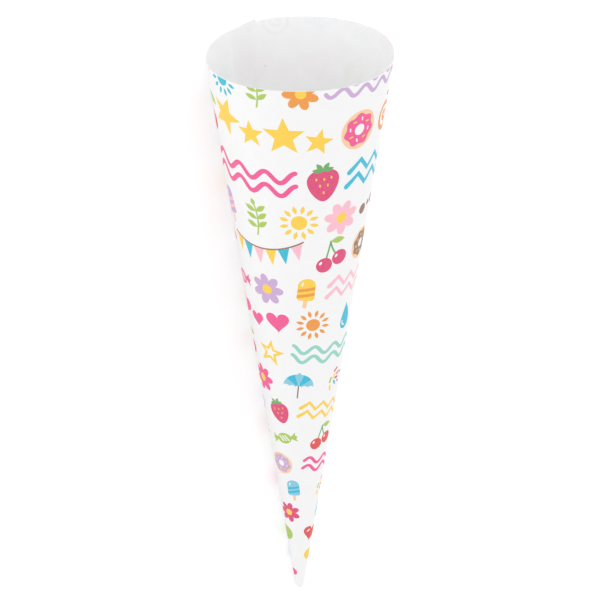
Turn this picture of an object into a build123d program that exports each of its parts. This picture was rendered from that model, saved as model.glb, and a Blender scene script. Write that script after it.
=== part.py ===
from build123d import *
import os
from math import atan, atan2, cos, degrees, sin

# A paper ice cream cone: one sheet, cut as a sector of a circle, rolled once round and glued along its lap.
# The two plies of the lap are pressed flat, and the cone lies on that flat, which is its heavy side.
# Its mouth is towards -Y and its tip towards +Y.

# Driving dimensions, in millimetres
mouth_diameter = 55.0  # across the outside of the rim
wall_length = 174.0  # along the cone's axis, from the rim to the sheet's cut edge at the tip
tip_diameter = 2.4  # across the outside of the sheet's cut edge at the tip
tip_plug_length = 3.0  # the stretch above that edge where the rolled paper has no hollow left
paper_thickness = 0.15
lap_width = 10.0  # along the rim, from the sheet's inner edge to its outer, free edge
corner_rise = 0.7  # how far the free edge's corner stands above the rim
cut_overrun = 1.0  # how far paper that is cut off runs past the cut

# The taper, and one ply's thickness measured square to the cone's axis
taper = (mouth_diameter - tip_diameter) / 2 / wall_length
half_angle = atan(taper)
ply = paper_thickness / cos(half_angle)

# The sheet rolls outwards by one ply in each turn. Its first half turn is centred on the cone's axis
# and its second half turn on an axis moved by half a ply, so that both are true cones.
inner_radius = (mouth_diameter - 3 * ply) / 2
lap_radius = inner_radius + 2 * ply
lap_angle = lap_width / lap_radius
half_turn = 180.0

# The tip ends in part of a ball, half a ply inside the sheet's cut edge and as steep there as the wall
tip_radius = inner_radius + ply - wall_length * taper
plug_radius = tip_radius + tip_plug_length * taper
core_radius = tip_radius - ply / 2
tip_ball_radius = core_radius / cos(half_angle)
tip_ball_place = wall_length - core_radius * taper

# The place at rest: the lap's flat on the ground, and the whole cone centred along Y
lap_depth = lap_radius * cos(lap_angle / 2)
lean = atan(taper * cos(lap_angle / 2))
front_reach = lap_depth * sin(lean) + corner_rise * cos(lean)
back_reach = tip_ball_place * cos(lean) + tip_ball_radius
mouth_centre = Vector(0, (front_reach - back_reach) / 2, lap_depth * cos(lean))
lap_direction = Vector(0, -sin(lean), -cos(lean))
tip_direction = Vector(0, cos(lean), -sin(lean))

# Angles are counted about the cone's axis from the sheet's inner edge, the way that the sheet is rolled
roll_axis = Axis(mouth_centre, tip_direction)
inner_edge = lap_direction.rotate(roll_axis, -degrees(lap_angle) / 2)
moved_axis = Axis(mouth_centre + inner_edge * (ply / 2), tip_direction)
mouth_plane = Plane(mouth_centre, inner_edge, tip_direction)

# The free corner is cut along a slope that leaves the rim at the inner edge
corner_slope = atan2(corner_rise, lap_radius * sin(lap_angle))
corner_normal = tip_direction.rotate(Axis(mouth_centre, inner_edge), -degrees(corner_slope))
corner_plane = Plane(mouth_centre, inner_edge, corner_normal)


def section_plane(angle):
    """A plane through the cone's axis: X away from the axis at this angle, Y from the rim to the tip."""
    outwards = inner_edge.rotate(roll_axis, angle)
    return Plane(mouth_centre, outwards, outwards.cross(tip_direction))


def rolled_ply(angle, rim_radius):
    """The profile of a ply that is rolled from this angle on: the sheet cut along the cone's axis."""
    end_radius = rim_radius - wall_length * taper
    with BuildSketch(section_plane(angle)) as profile:
        with BuildLine():
            Polyline(
                (rim_radius, 0),
                (rim_radius + ply, 0),
                (end_radius + ply, wall_length),
                (end_radius, wall_length),
                close=True,
            )
        make_face()
    return profile.sketch


def flat_ply(depth, rim_radius):
    """The profile of a ply of the flat lap, this far from the rim: the sheet cut square to the axis."""
    inside = rim_radius - depth * taper
    outside = inside + ply
    with BuildSketch(mouth_plane.offset(depth)) as profile:
        with BuildLine():
            Polyline(
                (inside, 0),
                (outside, 0),
                (outside * cos(lap_angle), outside * sin(lap_angle)),
                (inside * cos(lap_angle), inside * sin(lap_angle)),
                close=True,
            )
        make_face()
    return profile.sketch


with BuildPart() as paper_cone:
    # The lap's outer ply, the sheet's last stretch, with its free corner standing above the rim
    lap_top = -corner_rise - cut_overrun
    loft([flat_ply(depth, inner_radius + ply) for depth in (lap_top, wall_length)], ruled=True)
    split(bisect_by=corner_plane, keep=Keep.TOP)

    # The lap's inner ply, and the rest of the turn from there round to where the outer ply starts
    loft([flat_ply(depth, inner_radius) for depth in (0, wall_length)], ruled=True)
    revolve(rolled_ply(degrees(lap_angle), inner_radius), roll_axis, half_turn - degrees(lap_angle))
    revolve(rolled_ply(half_turn, inner_radius), moved_axis, half_turn)

    # The tip, where the sheet's own corner is rolled shut
    with BuildSketch(section_plane(0)):
        with BuildLine():
            core = Polyline(
                (0, tip_ball_place + tip_ball_radius),
                (0, wall_length - tip_plug_length),
                (plug_radius, wall_length - tip_plug_length),
                (tip_radius, wall_length),
                (core_radius, wall_length),
            )
            TangentArc(core @ 1, core @ 0, tangent=(-taper, 1))
        make_face()
    revolve(axis=roll_axis)

os.makedirs("parts", exist_ok=True)
paper_cone.part.label = "paper_cone"
export_step(paper_cone.part, "parts/paper_cone.step")
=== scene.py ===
from math import atan, ceil, cos, degrees, pi, radians, sin

import bmesh
import bpy
import numpy as np
from mathutils import Matrix, Vector
from mathutils.geometry import delaunay_2d_cdt


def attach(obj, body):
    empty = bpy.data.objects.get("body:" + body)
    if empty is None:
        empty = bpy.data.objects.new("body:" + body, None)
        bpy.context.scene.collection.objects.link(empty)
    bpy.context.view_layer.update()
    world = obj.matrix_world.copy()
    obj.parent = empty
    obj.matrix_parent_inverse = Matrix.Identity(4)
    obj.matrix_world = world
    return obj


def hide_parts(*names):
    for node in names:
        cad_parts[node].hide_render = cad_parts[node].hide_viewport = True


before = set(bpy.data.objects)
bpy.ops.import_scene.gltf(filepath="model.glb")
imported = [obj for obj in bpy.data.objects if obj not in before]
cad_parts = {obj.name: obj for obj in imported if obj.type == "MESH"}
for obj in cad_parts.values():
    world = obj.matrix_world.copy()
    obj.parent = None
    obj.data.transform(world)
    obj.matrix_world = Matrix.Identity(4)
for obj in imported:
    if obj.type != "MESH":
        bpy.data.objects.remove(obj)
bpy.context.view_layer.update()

# A paper ice cream cone, lying on its flat lap: one printed sheet, rolled once round and glued.
# Lengths are in millimetres until a mesh, lamp or camera is placed, in metres.
MM = 0.001
BODY = "root"
NODE = "paper_cone"

# The cone's driving dimensions, as in the solid
MOUTH_DIAMETER = 55.0  # across the outside of the rim
WALL_LENGTH = 174.0  # along the axis, from the rim to the sheet's cut edge at the tip
TIP_DIAMETER = 2.4  # across the outside of that edge
TIP_PLUG_LENGTH = 3.0  # the stretch above that edge where the rolled paper has no hollow left
PAPER_THICKNESS = 0.15
LAP_WIDTH = 10.0  # along the rim, from the sheet's inner edge to its outer, free edge
CORNER_RISE = 0.7  # how far the free edge's corner stands above the rim

# How the paper departs from a true cone
ROUNDNESS_ERROR = 0.25  # how far the section bulges at the rim
ROUNDNESS_LOBES = 4  # how many bulges there are in a turn
RIM_DIP = 1.35  # how deep the rim dips on the left of the view
RIM_DIP_POWER = 4  # the higher, the narrower the dip
RIM_SLANT = 1.0  # how far it falls in each radian towards the front, on the right of the view
RIM_SLANT_POWER = 5  # the higher, the shorter the slant
CREASE_SOFTNESS_SHARE = 0.0015  # of the radius, where the flat lap runs into the round wall
PRESSED_EDGE_WIDTH = 0.5  # along the rim, of the slope inside where the sheet passes over its inner edge

# The photograph's view of the cone
FREE_EDGE_FROM_FAR_SIDE = radians(28.2)  # round the axis
VIEW_ABOVE_MOUTH_PLANE = radians(25.71)  # how steeply the view looks into the mouth
VIEW_DISTANCE = 1800.0
VIEW_AIM_DEPTH = 79.11  # from the mouth's centre, along the axis, to the middle of the picture
VIEW_AIM_RIGHT = 0.06  # and from the axis to the right
FRAME_WIDTH = 176.6  # what the picture takes in at that distance
SENSOR_WIDTH = 36.0

# The taper, one ply square to the axis, and the radii and angles of the rolled sheet
TAPER = (MOUTH_DIAMETER - TIP_DIAMETER) / 2 / WALL_LENGTH
HALF_ANGLE = atan(TAPER)
PLY = PAPER_THICKNESS / cos(HALF_ANGLE)
INNER_RADIUS = (MOUTH_DIAMETER - 3 * PLY) / 2
LAP_RADIUS = INNER_RADIUS + 2 * PLY
LAP_ANGLE = LAP_WIDTH / LAP_RADIUS
PRESSED_EDGE_ANGLE = PRESSED_EDGE_WIDTH / INNER_RADIUS
FULL_TURN = 2 * pi

# The tip: the floor of the hollow, and outside it part of a ball, half a ply inside the sheet's cut edge
PLUG_DEPTH = WALL_LENGTH - TIP_PLUG_LENGTH
CORE_RADIUS = INNER_RADIUS + PLY / 2 - WALL_LENGTH * TAPER
BALL_RADIUS = CORE_RADIUS / cos(HALF_ANGLE)
BALL_DEPTH = WALL_LENGTH - CORE_RADIUS * TAPER

# The place at rest
LAP_DEPTH = LAP_RADIUS * cos(LAP_ANGLE / 2)
LEAN = atan(TAPER * cos(LAP_ANGLE / 2))
FRONT_REACH = LAP_DEPTH * sin(LEAN) + CORNER_RISE * cos(LEAN)
BACK_REACH = BALL_DEPTH * cos(LEAN) + BALL_RADIUS
MOUTH_CENTRE = Vector((0, (FRONT_REACH - BACK_REACH) / 2, LAP_DEPTH * cos(LEAN)))
TIP_DIRECTION = Vector((0, cos(LEAN), -sin(LEAN)))
LAP_DIRECTION = Vector((0, -sin(LEAN), -cos(LEAN)))
INNER_EDGE = Matrix.Rotation(-LAP_ANGLE / 2, 3, TIP_DIRECTION) @ LAP_DIRECTION
QUARTER_ON = TIP_DIRECTION.cross(INNER_EDGE)

# The flat sheet: a sector whose corner is the cone's apex, with its rim this far from it
SHEET_RADIUS = (INNER_RADIUS + PLY) / sin(HALF_ANGLE)
SHEET_TURN_SHARE = sin(HALF_ANGLE)

# The sides of the cone in the view, as angles round the axis
FAR_ANGLE = LAP_ANGLE + FREE_EDGE_FROM_FAR_SIDE
LEFT_ANGLE = FAR_ANGLE - pi / 2
FRONT_ANGLE = FAR_ANGLE + pi


# The rolled sheet. An angle counts from the sheet's inner edge, the way that it is rolled, and a depth
# counts from the rim.

LEAST_COSINE = 0.5  # further round than this from the lap, its flat has no say
SLOPE_STEP = 0.001  # over which the wall's slope is taken, in radians round it and millimetres down it


def inside_radius(angle, depth):
    """How far the sheet's inside is from the axis: a spiral that gains one ply, flat along the lap."""
    spiral = PLY * (1 + np.cos(np.clip(angle, pi, FULL_TURN))) / 2
    off_lap = (angle - LAP_ANGLE / 2 + pi) % FULL_TURN - pi
    flatness = 1 - cos(LAP_ANGLE / 2) / np.maximum(np.cos(off_lap), LEAST_COSINE)
    flatness = (flatness + np.hypot(flatness, CREASE_SOFTNESS_SHARE)) / 2
    lobes = np.sin(ROUNDNESS_LOBES / 2 * (angle - LEFT_ANGLE)) ** 2
    bulge = ROUNDNESS_ERROR * lobes * np.sin(off_lap / 2) ** 2
    radius = INNER_RADIUS - TAPER * depth
    return (radius + spiral) * (1 - flatness) + bulge * radius / INNER_RADIUS


def wall_point(angle, depth, radius):
    """Points in the part's own frame, in millimetres."""
    angle, depth, radius = (np.asarray(value, float)[..., None] for value in (angle, depth, radius))
    outwards = np.cos(angle) * np.array(INNER_EDGE) + np.sin(angle) * np.array(QUARTER_ON)
    return np.array(MOUTH_CENTRE) + np.array(TIP_DIRECTION) * depth + outwards * radius


def face_point(angle, depth, plies):
    """Points on the sheet's inside, with plies 0, or on its outside, with plies 1."""
    return wall_point(angle, depth, inside_radius(angle, depth) + plies * PLY)


def face_normal(angle, depth, plies):
    """The directions square to the sheet, away from the axis."""
    round_wall = face_point(angle + SLOPE_STEP, depth, plies) - face_point(angle - SLOPE_STEP, depth, plies)
    down_wall = face_point(angle, depth + SLOPE_STEP, plies) - face_point(angle, depth - SLOPE_STEP, plies)
    normal = np.cross(round_wall, down_wall)
    return normal / np.linalg.norm(normal, axis=-1, keepdims=True)


def rim_depth(angle):
    """The depth of the rim, which dips on the left of the view and slants on its right."""
    from_left = angle - LEFT_ANGLE
    from_right = from_left - pi
    dip = RIM_DIP * ((1 + np.cos(from_left)) / 2) ** RIM_DIP_POWER
    slant = RIM_SLANT * np.sin(from_right) * ((1 + np.cos(from_right)) / 2) ** RIM_SLANT_POWER
    return dip + slant


def top_depth(angle):
    """The depth of the sheet's top edge: the rim, and the rise to the free corner along the lap."""
    past = np.clip(angle - FULL_TURN, 0, LAP_ANGLE)
    return rim_depth(angle) - CORNER_RISE * np.sin(past) / sin(LAP_ANGLE)


def to_flat(angle, depth):
    """Places on the flat sheet, printed side up: x to the right and y to the rim, at the cone's front."""
    reach = SHEET_RADIUS - np.asarray(depth) / cos(HALF_ANGLE)
    turn = (FRONT_ANGLE - np.asarray(angle)) * SHEET_TURN_SHARE
    return np.stack(np.broadcast_arrays(reach * np.sin(turn), reach * np.cos(turn)), -1)


def to_rolled(places):
    """The angle and depth of places on the flat sheet."""
    reach = np.hypot(places[:, 0], places[:, 1])
    turn = np.arctan2(places[:, 0], places[:, 1])
    return FRONT_ANGLE - turn / SHEET_TURN_SHARE, (SHEET_RADIUS - reach) * cos(HALF_ANGLE)


# The inks, as display colours from 0 to 255, with the bare paper and a fleck in it

INKS = {
    "paper": (246, 246, 246),
    "pink": (243, 78, 146),
    "rose": (253, 190, 206),
    "yellow": (253, 209, 58),
    "turquoise": (22, 187, 215),
    "lilac": (204, 170, 213),
    "brown": (150, 106, 82),
    "orange": (241, 152, 52),
    "red": (226, 70, 66),
    "lime": (171, 201, 80),
    "green": (102, 171, 92),
    "terracotta": (217, 120, 90),
    "raspberry": (224, 62, 118),
    "mint": (146, 213, 198),
    "sky": (132, 202, 228),
    "peach": (250, 205, 160),
    "fleck": (226, 226, 226),
}
INK_NAMES = list(INKS)

# The second ink of a motif in two colours
PARTNERS = {
    "turquoise": "mint",
    "lilac": "rose",
    "yellow": "orange",
    "orange": "yellow",
    "sky": "turquoise",
    "pink": "rose",
}


def linear(display):
    """A display colour from 0 to 255 as linear light, by the sRGB curve."""
    display = np.asarray(display, float) / 255
    return np.where(display <= 0.04045, display / 12.92, ((display + 0.055) / 1.055) ** 2.4)


# Outlines for the print. Each is a closed loop of points, in shares of the motif's height.

def turned(points, angle):
    """Points turned anticlockwise by an angle in degrees."""
    cosine, sine = cos(radians(angle)), sin(radians(angle))
    return np.asarray(points, float) @ np.array([[cosine, sine], [-sine, cosine]])


def ellipse(x, y, across, up=None, turn=0, steps=24):
    """An ellipse about a point, or a disc, from its half widths."""
    t = np.linspace(0, FULL_TURN, steps, endpoint=False)
    points = np.stack([across * np.cos(t), (up or across) * np.sin(t)], 1)
    return turned(points, turn) + (x, y)


def dot(x, y, radius):
    """A small disc."""
    return ellipse(x, y, radius, steps=12)


def sector(radius, start, end, steps=24):
    """A slice of a disc about the origin, between two angles in degrees."""
    t = np.radians(np.linspace(start, end, steps))
    arc = radius * np.stack([np.cos(t), np.sin(t)], 1)
    return np.concatenate([[(0, 0)], arc]) if end - start < 180 else arc


def starburst(points, outer, inner):
    """A star with this many points, one of them at its top."""
    radius = np.where(np.arange(2 * points) % 2 == 0, outer, inner)
    t = np.radians(90) + pi * np.arange(2 * points) / points
    return np.stack([radius * np.cos(t), radius * np.sin(t)], 1)


def petal(start, end, width):
    """A leaf shape from one point to another."""
    start, end = np.asarray(start, float), np.asarray(end, float)
    t = np.linspace(0, 1, 10)[:, None]
    along = end - start
    side = np.array([-along[1], along[0]]) / np.linalg.norm(along) * width / 2 * np.sin(pi * t)
    spine = start + along * t
    return np.concatenate([spine + side, (spine - side)[-2:0:-1]])


def bend(start, middle, end, steps=10):
    """A curved path from start to end, drawn towards the middle point."""
    t = np.linspace(0, 1, steps)[:, None]
    start, middle, end = (np.asarray(point, float) for point in (start, middle, end))
    return (1 - t) ** 2 * start + 2 * t * (1 - t) * middle + t ** 2 * end


def stroke(path, width):
    """A band of even width along a path, with round ends."""
    path = np.asarray(path, float)
    along = np.gradient(path, axis=0)
    along /= np.linalg.norm(along, axis=1, keepdims=True)
    side = np.stack([-along[:, 1], along[:, 0]], 1) * width / 2
    t = np.linspace(0, pi, 7)[1:-1, None]
    end = path[-1] + side[-1] * np.cos(t) + along[-1] * np.sin(t) * width / 2
    start = path[0] - side[0] * np.cos(t) - along[0] * np.sin(t) * width / 2
    return np.concatenate([path + side, end, (path - side)[::-1], start])


def heart_outline(height):
    """A heart about the origin, by a common curve about 30 units high with its middle 2.5 units low."""
    t = np.linspace(0, FULL_TURN, 36, endpoint=False)
    x = 16 * np.sin(t) ** 3
    y = 13 * np.cos(t) - 5 * np.cos(2 * t) - 2 * np.cos(3 * t) - np.cos(4 * t)
    return np.stack([x, y + 2.5], 1) * height / 30


# Motifs one slot wide. Each gives its layers from the lowest up, as (ink, outline).

def star(ink):
    """A star with a bare one inside it."""
    return [(ink, starburst(5, 0.5, 0.21)), ("paper", starburst(5, 0.25, 0.105))]


def heart(ink):
    """A heart with a glint."""
    return [(ink, heart_outline(0.86)), ("paper", ellipse(-0.2, 0.17, 0.1, 0.045, 40, 12))]


def spot(ink):
    """A plain disc."""
    return [(ink, ellipse(0, 0, 0.4))]


def flower(ink):
    """A flower with seven petals."""
    petals = [(ink, turned(ellipse(0.3, 0, 0.2, 0.13), 360 * i / 7 + 12)) for i in range(7)]
    centre = "orange" if ink == "yellow" else "yellow"
    return petals + [(centre, ellipse(0, 0, 0.15))]


def swirl(ink):
    """A spiral line."""
    t = np.linspace(0.6, 4.4 * pi, 60)
    radius = 0.44 * t / t[-1]
    return [(ink, stroke(np.stack([radius * np.cos(t), radius * np.sin(t)], 1), 0.1))]


def sun(ink):
    """A disc with twelve rays."""
    rays = [(ink, turned(petal((0.27, 0), (0.52, 0), 0.11), 30 * i)) for i in range(12)]
    return rays + [(ink, ellipse(0, 0, 0.21))]


def drop(ink):
    """A drop with a glint."""
    t = np.linspace(0, FULL_TURN, 30, endpoint=False)
    outline = np.stack([0.33 * np.sin(t) * np.sin(t / 2) ** 1.5, 0.46 * np.cos(t)], 1)
    glint = stroke(bend((-0.15, -0.14), (-0.15, -0.28), (-0.04, -0.32), 6), 0.05)
    return [(ink, outline), ("paper", glint)]


def leaf(ink):
    """A leaf with its veins."""
    layers = [(ink, petal((0, -0.46), (0, 0.5), 0.5)), ("paper", stroke([(0, -0.36), (0, 0.36)], 0.035))]
    for y in (-0.2, -0.02, 0.16):
        layers += [("paper", stroke([(0, y), (side * 0.12, y + 0.1)], 0.03)) for side in (-1, 1)]
    return layers


def sprig(ink):
    """A stem with three pairs of leaves, and one at its end."""
    layers = [(ink, stroke(bend((-0.1, -0.5), (0.1, 0), (0, 0.4)), 0.05))]
    for x, y in ((-0.04, -0.28), (0.01, -0.04), (0.02, 0.18)):
        layers += [(ink, petal((x, y), (x + side * 0.32, y + 0.17), 0.15)) for side in (-1, 1)]
    return layers + [(ink, petal((0.01, 0.34), (-0.03, 0.56), 0.14))]


def cherries(ink):
    """Two cherries on their stalks, with a leaf."""
    top = (0.08, 0.46)
    fruits = ((-0.22, -0.22), (0.25, -0.16))
    layers = [("green", stroke(bend(top, (x * 0.2, 0.15), (x, y)), 0.05)) for x, y in fruits]
    layers.append(("lime", petal(top, (0.5, 0.36), 0.2)))
    for x, y in fruits:
        layers += [(ink, ellipse(x, y, 0.23)), ("paper", ellipse(x - 0.09, y + 0.09, 0.06, 0.035, 45, 10))]
    return layers


def strawberry(ink):
    """A strawberry with its seeds and leaves."""
    t = np.linspace(0, FULL_TURN, 32, endpoint=False)
    body = np.stack([0.36 * np.sin(t) * (1 + 0.32 * np.cos(t)), 0.43 * np.cos(t) - 0.07], 1)
    seeds = ((-0.16, 0.1), (0.02, 0.08), (0.19, 0.1), (-0.08, -0.08), (0.1, -0.09), (0.0, -0.27))
    top = (0, 0.3)
    leaf_ends = [turned((0.26, 0), turn) + top for turn in (10, 55, 125, 170)]
    layers = [(ink, body)] + [("yellow", ellipse(x, y, 0.022, 0.04, steps=8)) for x, y in seeds]
    return layers + [("green", petal(top, end, 0.12)) for end in leaf_ends]


def melon(ink):
    """A slice of melon with its rind and seeds."""
    seeds = ((-0.2, -0.1), (0.0, -0.12), (0.2, -0.1), (-0.1, -0.22), (0.1, -0.22))
    rings = (("green", 0.52), ("paper", 0.46), (ink, 0.42))
    layers = [(name, sector(radius, 180, 360) + (0, 0.2)) for name, radius in rings]
    return layers + [("brown", ellipse(x, y + 0.2, 0.018, 0.035, steps=8)) for x, y in seeds]


def lolly(ink):
    """An ice lolly in two colours, on its stick."""
    crown = sector(0.25, 0, 180) + (0, 0.22)
    base = [(-0.25, -0.2), (-0.2, -0.26), (0.2, -0.26), (0.25, -0.2)]
    bands = [[(-0.25, y), (-0.25, y - 0.1), (0.25, y), (0.25, y + 0.1)] for y in (0.1, -0.09)]
    layers = [("peach", stroke([(0, -0.2), (0, -0.46)], 0.12)), (ink, np.concatenate([crown, base]))]
    layers += [(PARTNERS[ink], np.array(band)) for band in bands]
    return layers + [("paper", stroke([(-0.13, 0.24), (-0.12, 0.32)], 0.05))]


def donut(ink):
    """An iced ring with crumbs."""
    t = np.linspace(0, FULL_TURN, 48, endpoint=False)
    icing = (0.37 + 0.03 * np.cos(7 * t))[:, None] * np.stack([np.cos(t), np.sin(t)], 1)
    layers = [("peach", ellipse(0, 0, 0.46)), (ink, icing), ("paper", ellipse(0, 0, 0.13))]
    crumb = stroke([(0, -0.03), (0, 0.03)], 0.035)
    for i in range(8):
        layers.append((("paper", "yellow")[i % 2], turned(crumb, 95 * i) + turned((0.25, 0), 45 * i)))
    return layers


def sweet(ink):
    """A wrapped sweet with three stripes."""
    fan = np.array([(0.2, 0), (0.47, 0.2), (0.43, 0.07), (0.5, 0), (0.43, -0.07), (0.47, -0.2)])
    layers = [(ink, fan), (ink, fan * (-1, 1)), (ink, ellipse(0, 0, 0.27, 0.22))]
    return layers + [("paper", stroke([(x + 0.05, -0.1), (x - 0.05, 0.1)], 0.05)) for x in (-0.11, 0.0, 0.11)]


def umbrella(ink):
    """A parasol in two colours, with a scalloped edge."""
    layers = [("brown", stroke([(0, 0), (0, -0.48)], 0.045)), (ink, sector(0.5, 0, 180) - (0, 0.04))]
    layers += [(PARTNERS[ink], sector(0.5, 36 * i, 36 * (i + 1), 8) - (0, 0.04)) for i in (1, 3)]
    layers += [("paper", ellipse(x, -0.08, 0.1, 0.09, steps=14)) for x in (-0.4, -0.2, 0.0, 0.2, 0.4)]
    return layers + [("brown", stroke([(0, -0.02), (0, -0.48)], 0.045)), (ink, dot(0, 0.47, 0.05))]


def bow(ink):
    """A tied ribbon."""
    layers = []
    for side in (-1, 1):
        layers += [
            (ink, petal((0, 0), (side * 0.24, -0.42), 0.14)),
            (ink, ellipse(side * 0.27, 0.1, 0.24, 0.17, side * 25)),
            ("paper", ellipse(side * 0.29, 0.11, 0.11, 0.06, side * 25, 14)),
        ]
    return layers + [(ink, ellipse(0, 0, 0.1))]


def sprinkles(ink):
    """A scatter of short bars in many colours."""
    inks = (ink, "yellow", "turquoise", "red", "lime", "lilac")
    layers = []
    for i in range(9):
        place = turned((0.08 + 0.042 * i, 0), 137.5 * i)
        bar = turned([(-0.075, 0), (0.075, 0)], 67 * i) + place
        layers.append((inks[i % len(inks)], stroke(bar, 0.09)))
    return layers


# Motifs several slots wide, which also take their width

def spaced(width, pitch):
    """The middles of as many things, about this far apart, as the width holds."""
    count = round(width / pitch)
    return width * ((np.arange(count) + 0.5) / count - 0.5)


def wave(ink, width):
    """Two wavy lines."""
    x = np.linspace(-width / 2, width / 2, ceil(24 * width))
    y = 0.13 * np.sin(FULL_TURN * x / 0.7)
    return [(ink, stroke(np.stack([x, y + lift], 1), 0.12)) for lift in (-0.17, 0.17)]


def zigzag(ink, width):
    """Two zigzag lines."""
    teeth = ceil(width / 0.3)
    x = np.linspace(-width / 2, width / 2, teeth + 1)
    y = np.where(np.arange(teeth + 1) % 2 == 0, -0.14, 0.14)
    return [(ink, stroke(np.stack([x, y + lift], 1), 0.14)) for lift in (-0.18, 0.18)]


def bunting(ink, width):
    """Flags on a string that hangs between its ends."""
    def string_height(x):
        """How high the string is, this far along it from its middle."""
        return 0.4 - 0.2 * (1 - (2 * x / width) ** 2)

    layers = []
    for i, middle in enumerate(spaced(width, 0.4)):
        x = middle + np.array([-0.17, 0, 0.17])
        flag = np.stack([x, string_height(x) - (0, 0.5, 0)], 1)
        layers.append(((ink, "turquoise", "rose")[i % 3], flag))
    x = np.linspace(-width / 2, width / 2, 24)
    return layers + [("brown", stroke(np.stack([x, string_height(x)], 1), 0.045))]


def beads(ink, width):
    """Beads, large and small in turn, along a wavy line."""
    return [
        (ink, ellipse(middle, 0.08 * sin(1.1 * i), (0.15, 0.08)[i % 2], steps=16))
        for i, middle in enumerate(spaced(width, 0.3))
    ]


def row_of(outline, pitch):
    """A wide motif that repeats one outline, large and small in turn."""
    def motif(ink, width):
        """The outlines, as far apart as the pitch."""
        layers = []
        for i, middle in enumerate(spaced(width, pitch)):
            shape = turned(outline * (1, 0.7)[i % 2], (-12, 10, 4)[i % 3])
            layers.append((ink, shape + (middle, (0.05, -0.06)[i % 2])))
        return layers
    return motif


MOTIFS = {
    motif.__name__: motif
    for motif in (
        star, heart, spot, flower, swirl, sun, drop, leaf, sprig, cherries, strawberry, melon, lolly, donut,
        sweet, umbrella, bow, sprinkles,
    )
}
WIDE_MOTIFS = {
    "wave": wave,
    "zigzag": zigzag,
    "bunting": bunting,
    "beads": beads,
    "stars": row_of(starburst(5, 0.47, 0.2), 0.7),
    "hearts": row_of(heart_outline(0.7), 0.74),
}

# The print's rows: how far below the rim, how high, and the motifs from the free edge on, as
# name.ink or, for a wide one, name.ink*slots
ROWS = (
    (1.0, 11.0, "star.pink bunting.yellow*2 sun.turquoise sprig.lime flower.orange wave.lilac*3 melon.red"
                " star.mint sweet.sky swirl.brown"),
    (16.0, 14.0, "lolly.turquoise cherries.red stars.yellow*3 donut.pink swirl.orange umbrella.lilac"
                 " leaf.lime hearts.rose*2"),
    (31.5, 13.0, "flower.sky wave.pink*3 strawberry.raspberry zigzag.turquoise*2 sweet.orange star.lilac"
                 " sprinkles.pink"),
    (45.0, 11.5, "heart.orange lolly.lilac sprig.lime sun.yellow flower.rose beads.brown*2 melon.pink"
                 " swirl.mint bow.raspberry"),
    (57.5, 11.0, "star.turquoise umbrella.pink bunting.yellow*2 cherries.raspberry donut.brown wave.lime*2"
                 " heart.rose"),
    (69.5, 10.5, "sprinkles.orange sweet.pink flower.lilac lolly.yellow zigzag.rose*2 swirl.sky"
                 " strawberry.raspberry leaf.lime"),
    (81.0, 10.0, "melon.red hearts.pink*2 sun.orange drop.turquoise bow.lilac stars.peach*2"),
    (92.0, 9.5, "cherries.raspberry star.yellow wave.mint*2 donut.rose sprig.lime swirl.brown"),
    (102.5, 9.0, "lolly.orange flower.pink umbrella.sky sprinkles.red heart.raspberry leaf.lime"),
    (112.5, 8.5, "swirl.lilac strawberry.raspberry zigzag.yellow*2 drop.turquoise bow.pink"),
    (122.0, 8.5, "sun.terracotta sweet.lime cherries.red star.turquoise flower.rose"),
    (131.5, 8.0, "donut.lilac wave.pink*2 leaf.lime"),
    (140.5, 7.5, "heart.pink lolly.sky sprinkles.red star.yellow"),
    (149.0, 7.0, "flower.raspberry drop.turquoise swirl.orange"),
    (157.0, 6.2, "spot.lime heart.red drop.lilac"),
    (164.5, 4.8, "spot.yellow drop.turquoise"),
    (171.0, 3.0, "spot.pink spot.orange"),
)
SLOT_FILL_SHARE = 0.86  # of its last slot that a wide motif takes up
ROW_SHIFT_SHARES = (0.0, 0.45, 0.2, 0.7)  # of a slot, from the free edge to the row's start, row by row

# How the motifs are tilted, in degrees, in turn along a row and from row to row
TILTS = (-14, 9, -5, 17, -10, 4, 13)
WIDE_TILTS = (-5, 3, -2, 4)
TILT_STEP_IN_ROW = 2
TILT_STEP_TO_NEXT_ROW = 3


def row_entries(words):
    """The motifs that a row's words name, as (name, ink, slots)."""
    entries = []
    for word in words.split():
        name, _, slots = word.partition("*")
        entries.append((*name.split("."), int(slots or 1)))
    return entries


def place_row(number, below_rim, height, words):
    """One row's layers on the flat sheet, as (ink, outline)."""
    entries = row_entries(words)
    pitch = FULL_TURN / sum(slots for _, _, slots in entries)
    reach = SHEET_RADIUS - below_rim
    layers = []

    # The last motif also comes first, to fill the shifted row's start
    used = ROW_SHIFT_SHARES[number % len(ROW_SHIFT_SHARES)] - entries[-1][2]
    for i, (name, ink, slots) in enumerate(entries[-1:] + entries):
        angle = FULL_TURN + LAP_ANGLE - (used + slots / 2) * pitch
        used += slots
        if name in WIDE_MOTIFS:
            width = (slots - 1 + SLOT_FILL_SHARE) * pitch * SHEET_TURN_SHARE * reach / height
            motif = WIDE_MOTIFS[name](ink, width)
            tilt = WIDE_TILTS[(number + i) % len(WIDE_TILTS)]
        else:
            motif = MOTIFS[name](ink)
            tilt = TILTS[(TILT_STEP_TO_NEXT_ROW * number + TILT_STEP_IN_ROW * i) % len(TILTS)]
        turn = (FRONT_ANGLE - angle) * SHEET_TURN_SHARE
        middle = reach * np.array([sin(turn), cos(turn)])
        for layer_ink, outline in motif:
            outline = turned(outline * height, tilt - degrees(turn)) + middle
            layers.append((layer_ink, split_sides(outline, step_length(below_rim))))
    return layers


def whole_print():
    """All of the print's layers on the flat sheet, from the lowest up."""
    return [layer for number, row in enumerate(ROWS) for layer in place_row(number, *row)]


# A fleck in the bare paper of the inside

FLECK_FROM_FAR_SIDE = radians(-23.75)
FLECK_DEPTH = 14.0
FLECK_RADIUS = 0.3


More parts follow.
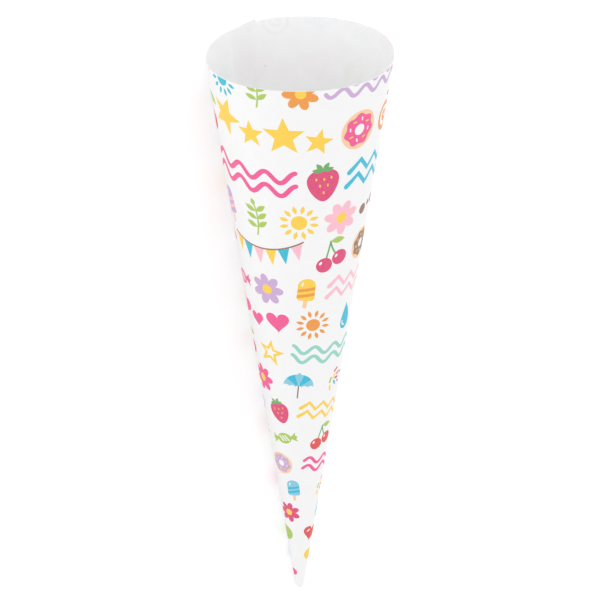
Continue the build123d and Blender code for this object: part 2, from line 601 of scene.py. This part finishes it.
def fleck():
    """The fleck's layer on the flat sheet."""
    return "fleck", dot(*to_flat(FAR_ANGLE + FLECK_FROM_FAR_SIDE, FLECK_DEPTH), FLECK_RADIUS)


# The mesh. Each face of the sheet is cut up on the flat, along its border and the print's outlines.

GRID_SPACING = 2.0  # between points on the open paper, where the wall is wide
GRID_STAGGER_SHARES = (0.25, 0.75)  # of a step, where the rows of points start in turn
RIM_SPACING = 0.7  # between points along the rim
LEAST_STEPS_PER_TURN = 48  # round the wall, where it is narrow
DOME_RINGS = 6  # in the tip's rounded end
CUT_TOLERANCE = 1e-5  # within which points become one
HULL_TRIANGLES = 0  # the kind of cutting that fills the points' whole hull with triangles


def inside_loop(loop, places):
    """Which places lie inside a closed loop."""
    within = np.zeros(len(places), bool)
    near = np.flatnonzero(((places > loop.min(0)) & (places < loop.max(0))).all(1))
    x, y = places[near, 0], places[near, 1]
    for (x0, y0), (x1, y1) in zip(loop, np.roll(loop, -1, 0)):
        if y0 != y1:
            crosses = (y0 > y) != (y1 > y)
            within[near] ^= crosses & (x < x0 + (y - y0) * (x1 - x0) / (y1 - y0))
    return within


def steps_round(depth):
    """How many steps the mesh takes round the wall at a depth."""
    radius = LAP_RADIUS - TAPER * depth
    return max(LEAST_STEPS_PER_TURN, round(FULL_TURN * radius / GRID_SPACING))


def step_length(depth):
    """The length of one such step."""
    return FULL_TURN * (LAP_RADIUS - TAPER * depth) / steps_round(depth)


def row_depths(bottom):
    """Depths from the rim down, as far apart as the steps round the wall are long."""
    depths = [0.0]
    while depths[-1] < bottom:
        depths.append(depths[-1] + step_length(depths[-1]))
    return np.array(depths) * bottom / depths[-1]


def split_sides(outline, longest):
    """An outline with its long sides split."""
    ends = np.roll(outline, -1, 0)
    counts = np.ceil(np.linalg.norm(ends - outline, axis=1) / longest).astype(int)
    sides = zip(outline, ends, counts)
    return np.concatenate([start + (end - start) * np.arange(n)[:, None] / n for start, end, n in sides if n])


def border_loop(first, last, bottom):
    """The outline of one face of the sheet on the flat, between two angles and down to a depth."""
    stops = sorted({first, LAP_ANGLE, FULL_TURN, last})
    stops = [stop for stop in stops if first <= stop <= last]
    runs = []
    for start, end in zip(stops, stops[1:]):
        steps = ceil((end - start) * LAP_RADIUS / RIM_SPACING)
        runs.append(np.linspace(start, end, steps, endpoint=False))
    rim = np.concatenate(runs)
    depths = row_depths(bottom)[1:-1]
    around = np.linspace(last, first, LEAST_STEPS_PER_TURN, endpoint=False)
    return np.concatenate([
        to_flat(rim, top_depth(rim)),
        to_flat(last, np.append(top_depth(last), depths)),
        to_flat(around, bottom),
        to_flat(first, np.append(bottom, depths[::-1])),
    ])


def grid_places(first, last, bottom):
    """Places spread over one face of the sheet, closer together towards the narrow end."""
    depths = row_depths(bottom)
    rows = []
    for i, depth in enumerate((depths[1:] + depths[:-1]) / 2):
        steps = steps_round(depth)
        stagger = GRID_STAGGER_SHARES[i % len(GRID_STAGGER_SHARES)]
        angles = first + (last - first) * (np.arange(steps) + stagger) / steps
        rows.append(to_flat(angles, depth))
    return np.concatenate(rows)


def cut_face(first, last, bottom, layers):
    """One face of the sheet cut along the print's outlines: angles, depths, triangles and ink numbers."""
    border = border_loop(first, last, bottom)
    loops = [border] + [outline for _, outline in layers]
    edges = []
    count = 0
    for loop in loops:
        edges += [(count + i, count + (i + 1) % len(loop)) for i in range(len(loop))]
        count += len(loop)
    places = np.concatenate(loops + [grid_places(first, last, bottom)])
    vectors = [Vector(place) for place in places]
    found = delaunay_2d_cdt(vectors, edges, [], HULL_TRIANGLES, CUT_TOLERANCE, False)
    places = np.array([tuple(place) for place in found[0]])
    triangles = np.array([tuple(face) for face in found[2]])
    triangles = triangles[inside_loop(border, places[triangles].mean(1))]
    used, triangles = np.unique(triangles, return_inverse=True)
    places, triangles = places[used], triangles.reshape(-1, 3)
    inks = np.full(len(triangles), INK_NAMES.index("paper"))
    middles = places[triangles].mean(1)
    for ink, outline in layers:
        inks[inside_loop(outline, middles)] = INK_NAMES.index(ink)
    return *to_rolled(places), triangles, inks


def edge_line(triangles, on_line, along):
    """The border points of a face that lie on one line, in order along it."""
    sides = np.sort(triangles[:, [0, 1, 1, 2, 2, 0]].reshape(-1, 2), axis=1)
    sides, uses = np.unique(sides, axis=0, return_counts=True)
    border = np.unique(sides[uses == 1])
    line = border[on_line[border]]
    return line[np.argsort(along[line])]


def strip_corners(along_a, along_b):
    """The triangles that join two lines of points. A corner is given as its line, 0 or 1, and place there."""
    corners = []
    i = j = 0
    while i < len(along_a) - 1 or j < len(along_b) - 1:
        step_a = j == len(along_b) - 1 or (i < len(along_a) - 1 and along_a[i + 1] <= along_b[j + 1])
        corners.append(((0, i), (1, j), (0, i + 1) if step_a else (1, j + 1)))
        i, j = (i + 1, j) if step_a else (i, j + 1)
    return corners


# The flat layout of the map OFBake: the sheet's outside large, its inside small beside it on the
# right, and the narrow strips of the edges and the tip in rows on the left

MAP_SIZE = 188.0  # the layout's side, at the outside's own scale
MAP_MARGIN = 1.5
INSIDE_MAP_SHARE = 0.46  # of the outside's scale
INSIDE_MAP_TURN = radians(57)  # clockwise from the outside
STRIP_LENGTH = 60.0
STRIP_WIDTH = 1.2
STRIP_PITCH = 2.4  # from one strip to the next


def sheet_map(angle, depth, plies):
    """Places in the layout for the sheet's outside or inside."""
    share, turn = (1.0, 0.0) if plies else (INSIDE_MAP_SHARE, INSIDE_MAP_TURN)
    reach = (SHEET_RADIUS - depth / cos(HALF_ANGLE)) * share
    turn = turn + (pi + LAP_ANGLE - angle) * SHEET_TURN_SHARE
    x = reach * np.sin(turn) / MAP_SIZE + 0.5
    y = (reach * np.cos(turn) + MAP_MARGIN) / MAP_SIZE
    return np.stack([x, y], -1)


def strip_map(row, along, side):
    """A place in the layout for a strip: a share of the way along it, on its side 0 or 1."""
    x = MAP_MARGIN + along * STRIP_LENGTH
    y = MAP_MARGIN + row * STRIP_PITCH + side * STRIP_WIDTH
    return x / MAP_SIZE, y / MAP_SIZE


class ConeMesh:
    """The cone's points, each with a smooth direction, and its triangles: material, inks and flat layout."""

    def __init__(self):
        self.points = np.zeros((0, 3))
        self.normals = np.zeros((0, 3))
        self.triangles = []
        self.materials = []
        self.smooth = []
        self.colours = []
        self.maps = []
        self.strips = 0

    def add_points(self, points, normals=None):
        """Adds points, and gives their numbers. Those on smooth faces need their directions too."""
        start = len(self.points)
        self.points = np.concatenate([self.points, points])
        self.normals = np.concatenate([self.normals, np.zeros_like(points) if normals is None else normals])
        return np.arange(start, len(self.points))

    def add_triangles(self, triangles, material, colours, places, smooth=False):
        """Adds triangles, with the colours of their corners and the places of those in the flat layout."""
        self.triangles += [tuple(int(i) for i in triangle) for triangle in triangles]
        self.materials += [material] * len(triangles)
        self.smooth += [smooth] * len(triangles)
        self.colours.append(colours)
        self.maps.append(places)

    def add_strip(self, line_a, along_a, line_b, along_b, material, shade=1.0, smooth=False):
        """Adds unprinted paper between two lines of points, each given with its values along."""
        lines = (line_a, line_b)
        start, end = min(along_a[0], along_b[0]), max(along_a[-1], along_b[-1])
        shares = [(np.asarray(along) - start) / (end - start) for along in (along_a, along_b)]
        triangles, places = [], []
        for corners in strip_corners(along_a, along_b):
            triangle = [lines[side][i] for side, i in corners]
            if len(set(triangle)) == 3:
                triangles.append(triangle)
                places.append([strip_map(self.strips, shares[side][i], side) for side, i in corners])
        self.strips += 1
        colours = np.broadcast_to(linear(INKS["paper"]) * shade, (len(triangles), 3, 3))
        self.add_triangles(triangles, material, colours, np.array(places), smooth)


# The cone's surfaces, by the number of their material
OUTSIDE, INSIDE, CUT_EDGE = range(3)

# How near to a line its points are, in millimetres and in radians
TOUCH = 0.002
ANGLE_TOUCH = 1e-4

# The paper's shades: the print showing through, and painted shade over the lap, on the raised corner and on
# the cut edges
GHOST_SHARE = 0.04  # of the print's colour, which shows through on the inside
LAP_SHADE = 0.96  # of the inside over the lap, where less light comes through the paper
LAP_SHADE_FULL = 0.25  # how far that reaches from the lap's middle, in lap widths
LAP_SHADE_END = 0.75  # and how far off it has faded out
# Painted shade: the inside of the raised free corner is darkened
FLAP_PAINTED_SHADE = 0.86  # of the inside of the raised free corner
# Painted shade: the thin cut edges are darkened, as the rim line and the raised corner are in shade
CUT_EDGE_PAINTED_SHADE = 0.8  # of the cut edges


def face_colours(angles, triangles, inks, plies):
    """The colours of a face's corners: its inks outside, and inside the paper that they show through, with
    painted shade over the lap.
    """
    ink_colours = linear([INKS[name] for name in INK_NAMES])
    if plies:
        return np.repeat(ink_colours[inks][:, None], 3, axis=1)
    paper = linear(INKS["paper"])
    shares = np.where(inks == INK_NAMES.index("fleck"), 1.0, GHOST_SHARE)[:, None]
    ghost = paper + shares * (ink_colours[inks] - paper)
    # Painted shade over the lap, where the two plies let less light through
    off_lap = np.abs(angles - LAP_ANGLE / 2)[triangles] / LAP_ANGLE
    over_lap = np.clip((LAP_SHADE_END - off_lap) / (LAP_SHADE_END - LAP_SHADE_FULL), 0, 1)
    shade = 1 - (1 - LAP_SHADE) * over_lap
    return ghost[:, None] * shade[..., None]


def add_face(cone, first, last, bottom, plies, layers):
    """Adds the sheet's outside or inside. Gives its border's four lines, each with its values along."""
    angles, depths, triangles, inks = cut_face(first, last, bottom, layers)
    facing = 1 if plies else -1
    start = len(cone.points)
    cone.add_points(face_point(angles, depths, plies), facing * face_normal(angles, depths, plies))
    colours = face_colours(angles, triangles, inks, plies)
    places = sheet_map(angles, depths, plies)[triangles]
    cone.add_triangles(triangles + start, OUTSIDE if plies else INSIDE, colours, places, True)
    lines = {
        "rim": (depths < top_depth(angles) + TOUCH, angles),
        "first": (angles < first + TOUCH / SHEET_RADIUS, depths),
        "last": (angles > last - TOUCH / SHEET_RADIUS, depths),
        "bottom": (depths > bottom - TOUCH, angles),
    }
    found = {}
    for name, (on_line, along) in lines.items():
        line = edge_line(triangles, on_line, along)
        found[name] = (line + start, along[line])
    return found


def part_of(line, low, high):
    """The stretch of a line between two angles."""
    points, along = line
    keep = (along > low - ANGLE_TOUCH) & (along < high + ANGLE_TOUCH)
    return points[keep], along[keep]


def add_cut_edges(cone, outer, inner):
    """The sheet's cut edge at the rim, at the free edge and at the inner edge."""
    cone.add_strip(*part_of(outer["rim"], LAP_ANGLE, FULL_TURN),
                   *part_of(inner["rim"], LAP_ANGLE, FULL_TURN), CUT_EDGE, CUT_EDGE_PAINTED_SHADE)

    # Along the lap the outer ply's edge rises above the inner ply's, and its inside shows between them,
    # darkened with painted shade
    raised, along = part_of(outer["rim"], FULL_TURN, FULL_TURN + LAP_ANGLE)
    tops = cone.add_points(face_point(along, top_depth(along), 0)[1:])
    feet = cone.add_points(face_point(along, rim_depth(along), 0)[1:-1])
    start, end = inner["last"][0][0], outer["first"][0][0]
    tops = np.concatenate([[start], tops])
    feet = np.concatenate([[start], feet, [end]])
    lower, lower_along = part_of(inner["rim"], 0, LAP_ANGLE)
    cone.add_strip(raised, along, tops, along, CUT_EDGE, CUT_EDGE_PAINTED_SHADE)
    cone.add_strip(tops, along, feet, along, INSIDE, FLAP_PAINTED_SHADE)
    cone.add_strip(feet, along - FULL_TURN, lower, lower_along, CUT_EDGE, CUT_EDGE_PAINTED_SHADE)

    # The step down from the free edge, and the pressed slope inside at the inner edge
    below, depths = outer["first"]
    below, depths = np.insert(below, 0, tops[-1]), np.insert(depths, 0, depths[0] - CORNER_RISE)
    cone.add_strip(*outer["last"], below, depths, CUT_EDGE, CUT_EDGE_PAINTED_SHADE)
    cone.add_strip(*inner["first"], *inner["last"], INSIDE)


def add_tip(cone, outer, inner):
    """The rolled tip: its rounded end outside, and the floor of the hollow inside."""
    line, along = outer["bottom"]
    steps = LEAST_STEPS_PER_TURN
    angles = LAP_ANGLE + FULL_TURN * np.arange(steps) / steps
    ball_centre = np.array(MOUTH_CENTRE + TIP_DIRECTION * BALL_DEPTH)
    rings = []
    for tilt in np.linspace(HALF_ANGLE, pi / 2, DOME_RINGS, endpoint=False):
        depth = BALL_DEPTH + BALL_RADIUS * sin(tilt)
        points = wall_point(angles, np.full(steps, depth), np.full(steps, BALL_RADIUS * cos(tilt)))
        ring = cone.add_points(points, (points - ball_centre) / BALL_RADIUS)
        rings.append(np.append(ring, ring[0]))
    ring_along = np.append(angles, LAP_ANGLE + FULL_TURN)
    cone.add_strip(line, along, rings[0], ring_along, CUT_EDGE, CUT_EDGE_PAINTED_SHADE)
    cone.add_strip(line[[0, -1]], along[[0, -1]], rings[0][:1], ring_along[:1], CUT_EDGE, CUT_EDGE_PAINTED_SHADE)
    for upper, lower in zip(rings, rings[1:]):
        cone.add_strip(upper, ring_along, lower, ring_along, OUTSIDE, smooth=True)
    pole = cone.add_points([ball_centre + np.array(TIP_DIRECTION) * BALL_RADIUS], [np.array(TIP_DIRECTION)])
    cone.add_strip(rings[-1], ring_along, pole, [FRONT_ANGLE], OUTSIDE, smooth=True)

    floor_line, along = inner["bottom"]
    centre = cone.add_points([np.array(MOUTH_CENTRE + TIP_DIRECTION * PLUG_DEPTH)])
    cone.add_strip(np.append(floor_line, floor_line[0]), np.append(along, FULL_TURN), centre, [pi], INSIDE)


def turn_faces_out(mesh):
    """Turns each face of a closed mesh to its outer side."""
    shell = bmesh.new()
    shell.from_mesh(mesh)
    bmesh.ops.recalc_face_normals(shell, faces=shell.faces)
    shell.to_mesh(mesh)
    shell.free()


def set_corners(mesh, cone):
    """Gives each corner its ink, its place in the flat layout and its direction, smooth or flat."""
    vertices = np.empty(len(mesh.loops), int)
    mesh.loops.foreach_get("vertex_index", vertices)
    vertices = vertices.reshape(-1, 3)

    # A face that was turned has its corners in another order
    corners = np.array(cone.triangles)
    order = (vertices[:, :, None] == corners[:, None, :]).argmax(2)[..., None]
    colours = np.take_along_axis(np.concatenate(cone.colours), order, axis=1).reshape(-1, 3)
    colours = np.concatenate([colours, np.ones((len(colours), 1))], axis=1)
    mesh.color_attributes.new("ink", "FLOAT_COLOR", "CORNER").data.foreach_set("color", colours.ravel())
    places = np.take_along_axis(np.concatenate(cone.maps), order, axis=1)
    mesh.uv_layers.new(name="OFBake").data.foreach_set("uv", places.ravel())

    flat = np.empty(len(mesh.polygons) * 3)
    mesh.polygons.foreach_get("normal", flat)
    smooth = np.array(cone.smooth)[:, None, None]
    normals = np.where(smooth, cone.normals[vertices], flat.reshape(-1, 1, 3))
    mesh.shade_smooth()
    mesh.normals_split_custom_set(normals.reshape(-1, 3).tolist())


def printed_cone(materials):
    """The whole sheet as one closed mesh, with its inks as a colour attribute."""
    layers = whole_print()
    cone = ConeMesh()
    outer = add_face(cone, LAP_ANGLE, FULL_TURN + LAP_ANGLE, WALL_LENGTH, 1, layers)
    inner = add_face(cone, 0.0, FULL_TURN - PRESSED_EDGE_ANGLE, PLUG_DEPTH, 0, layers + [fleck()])
    add_cut_edges(cone, outer, inner)
    add_tip(cone, outer, inner)

    mesh = bpy.data.meshes.new("printed_cone")
    mesh.from_pydata((cone.points * MM).tolist(), [], cone.triangles)
    for material in materials:
        mesh.materials.append(material)
    mesh.polygons.foreach_set("material_index", cone.materials)
    turn_faces_out(mesh)
    set_corners(mesh, cone)
    obj = bpy.data.objects.new("printed_cone", mesh)
    bpy.context.collection.objects.link(obj)
    return obj


# Materials

FORMATION_SCALE = 220.0  # of the clouds in the paper, per metre
FIBRE_SCALE = 2600.0  # of its fibres, per metre
FIBRE_HEIGHT = 0.02
NOISE_DETAIL = 3.0
RELIEF_DETAIL = 5.0
NOISE_LOW, NOISE_HIGH = 0.3, 0.7  # between which nearly all of a noise's values lie
PAPER_IOR = 1.45
MIX_FACTOR, MIX_A, MIX_B, MIX_RESULT = 0, 6, 7, 2  # the sockets of a Mix node for colours


def new_material(name):
    """A material, its node tree and its main shader."""
    material = bpy.data.materials.new(name)
    material.use_nodes = True
    tree = material.node_tree
    return material, tree, tree.nodes["Principled BSDF"]


def noise(tree, scale, detail=NOISE_DETAIL):
    """A noise that follows the object."""
    place = tree.nodes.new("ShaderNodeTexCoord")
    texture = tree.nodes.new("ShaderNodeTexNoise")
    texture.inputs["Scale"].default_value = scale
    texture.inputs["Detail"].default_value = detail
    tree.links.new(place.outputs["Object"], texture.inputs["Vector"])
    return texture.outputs["Fac"]


def spread(tree, value, low, high):
    """A noise value stretched over a range."""
    node = tree.nodes.new("ShaderNodeMapRange")
    node.inputs["From Min"].default_value = NOISE_LOW
    node.inputs["From Max"].default_value = NOISE_HIGH
    node.inputs["To Min"].default_value = low
    node.inputs["To Max"].default_value = high
    tree.links.new(value, node.inputs["Value"])
    return node.outputs["Result"]


def mix(tree, blend, factor, a, b):
    """Two colours mixed, where each of factor, a and b is a socket or a fixed value."""
    node = tree.nodes.new("ShaderNodeMix")
    node.data_type = "RGBA"
    node.blend_type = blend
    for socket, value in ((MIX_FACTOR, factor), (MIX_A, a), (MIX_B, b)):
        if isinstance(value, bpy.types.NodeSocket):
            tree.links.new(value, node.inputs[socket])
        else:
            node.inputs[socket].default_value = value
    return node.outputs[MIX_RESULT]


def paper_material(name, roughness, formation, ink_fade, relief):
    """Paper that takes its colour from the ink attribute: cloudy formation, uneven ink, fibres in relief."""
    material, tree, shader = new_material(name)
    ink = tree.nodes.new("ShaderNodeAttribute")
    ink.attribute_name = "ink"
    white = (*linear(INKS["paper"]), 1.0)
    fade = spread(tree, noise(tree, FIBRE_SCALE), 0.0, ink_fade)
    faded = mix(tree, "MIX", fade, ink.outputs["Color"], white)
    cloud = spread(tree, noise(tree, FORMATION_SCALE), 1 - formation, 1.0)
    tree.links.new(mix(tree, "MULTIPLY", 1.0, faded, cloud), shader.inputs["Base Color"])
    tree.links.new(spread(tree, noise(tree, FIBRE_SCALE), *roughness), shader.inputs["Roughness"])
    bump = tree.nodes.new("ShaderNodeBump")
    bump.inputs["Strength"].default_value = relief
    bump.inputs["Distance"].default_value = FIBRE_HEIGHT * MM
    tree.links.new(noise(tree, FIBRE_SCALE, RELIEF_DETAIL), bump.inputs["Height"])
    tree.links.new(bump.outputs["Normal"], shader.inputs["Normal"])
    shader.inputs["IOR"].default_value = PAPER_IOR
    return material


def cone_materials():
    """The coated, printed outside, the bare inside and the cut edge."""
    return [
        paper_material("coated_paper", roughness=(0.42, 0.56), formation=0.012, ink_fade=0.09, relief=0.25),
        paper_material("bare_paper", roughness=(0.7, 0.85), formation=0.02, ink_fade=0.2, relief=0.5),
        paper_material("cut_paper", roughness=(0.8, 0.95), formation=0.05, ink_fade=0.0, relief=0.8),
    ]


# The stage, in metres

FLOOR_SIZE = 4.0
FLOOR_SHADE = 0.9  # of the floor, as it throws light on the cone
FLOOR_SEEN_SHADE = 0.45  # of the floor, as the camera sees it, with the shadow
FLOOR_SEEN_GLOW = 0.62  # added for the camera, to make the floor white
SKY_STRENGTH = 0.855

# Each softbox's place, its width, and its power in watts
LAMPS = {
    "side_softbox": ((0.75, -0.1, 0.28), 0.5, 0.9),
    "back_softbox": ((-0.6, 0.1, 0.6), 0.7, 1.15),
    "mouth_softbox": ((0.0, -0.95, 0.28), 0.5, 4.2),
}


def floor_material():
    """A matt pale floor that looks white to the camera and keeps the shadow."""
    material, tree, shader = new_material("floor")
    shader.inputs["Base Color"].default_value = (FLOOR_SHADE, FLOOR_SHADE, FLOOR_SHADE, 1)
    shader.inputs["Specular IOR Level"].default_value = 0.0
    lit = tree.nodes.new("ShaderNodeBsdfDiffuse")
    lit.inputs["Color"].default_value = (FLOOR_SEEN_SHADE, FLOOR_SEEN_SHADE, FLOOR_SEEN_SHADE, 1)
    glow = tree.nodes.new("ShaderNodeEmission")
    glow.inputs["Strength"].default_value = FLOOR_SEEN_GLOW
    seen = tree.nodes.new("ShaderNodeAddShader")
    tree.links.new(lit.outputs["BSDF"], seen.inputs[0])
    tree.links.new(glow.outputs["Emission"], seen.inputs[1])
    ray = tree.nodes.new("ShaderNodeLightPath")
    direct = tree.nodes.new("ShaderNodeMath")
    direct.operation = "MAXIMUM"
    tree.links.new(ray.outputs["Is Camera Ray"], direct.inputs[0])
    tree.links.new(ray.outputs["Is Glossy Ray"], direct.inputs[1])
    chosen = tree.nodes.new("ShaderNodeMixShader")
    tree.links.new(direct.outputs[0], chosen.inputs["Fac"])
    tree.links.new(shader.outputs["BSDF"], chosen.inputs[1])
    tree.links.new(seen.outputs["Shader"], chosen.inputs[2])
    tree.links.new(chosen.outputs["Shader"], tree.nodes["Material Output"].inputs["Surface"])
    return material


def floor():
    """A plain square floor."""
    bpy.ops.mesh.primitive_plane_add(size=FLOOR_SIZE)
    plane = bpy.context.object
    plane.name = "floor"
    plane.data.materials.append(floor_material())
    return plane


def sky():
    """Even white light from all round."""
    world = bpy.data.worlds.new("sky")
    world.use_nodes = True
    light = world.node_tree.nodes["Background"]
    light.inputs["Color"].default_value = (1, 1, 1, 1)
    light.inputs["Strength"].default_value = SKY_STRENGTH
    bpy.context.scene.world = world


def lamp(name, place, size, power):
    """A square softbox that faces the cone."""
    light = bpy.data.lights.new(name, "AREA")
    light.size = size
    light.energy = power
    obj = bpy.data.objects.new(name, light)
    obj.location = place
    obj.rotation_euler = (-Vector(place)).to_track_quat("-Z", "Y").to_euler()
    bpy.context.collection.objects.link(obj)


def camera():
    """The photograph's view: the lap on the far side, the mouth at the top and the tip at the bottom."""
    far_side = Matrix.Rotation(FAR_ANGLE, 3, TIP_DIRECTION) @ INNER_EDGE
    towards = -TIP_DIRECTION * sin(VIEW_ABOVE_MOUTH_PLANE) - far_side * cos(VIEW_ABOVE_MOUTH_PLANE)
    up = (-TIP_DIRECTION - towards * towards.dot(-TIP_DIRECTION)).normalized()
    right = up.cross(towards)
    aim = MOUTH_CENTRE + TIP_DIRECTION * VIEW_AIM_DEPTH + right * VIEW_AIM_RIGHT
    place = (aim + towards * VIEW_DISTANCE) * MM
    turn = Matrix((right, up, towards)).transposed()
    data = bpy.data.cameras.new("camera")
    data.sensor_width = SENSOR_WIDTH
    data.lens = SENSOR_WIDTH * VIEW_DISTANCE / FRAME_WIDTH
    obj = bpy.data.objects.new("camera", data)
    obj.matrix_world = Matrix.Translation(place) @ turn.to_4x4()
    bpy.context.collection.objects.link(obj)
    bpy.context.scene.camera = obj


cone_piece = printed_cone(cone_materials())
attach(cone_piece, BODY)
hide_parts(NODE)
floor()
sky()
for lamp_name, settings in LAMPS.items():
    lamp(lamp_name, *settings)
camera()
bpy.context.scene.view_settings.view_transform = "Standard"
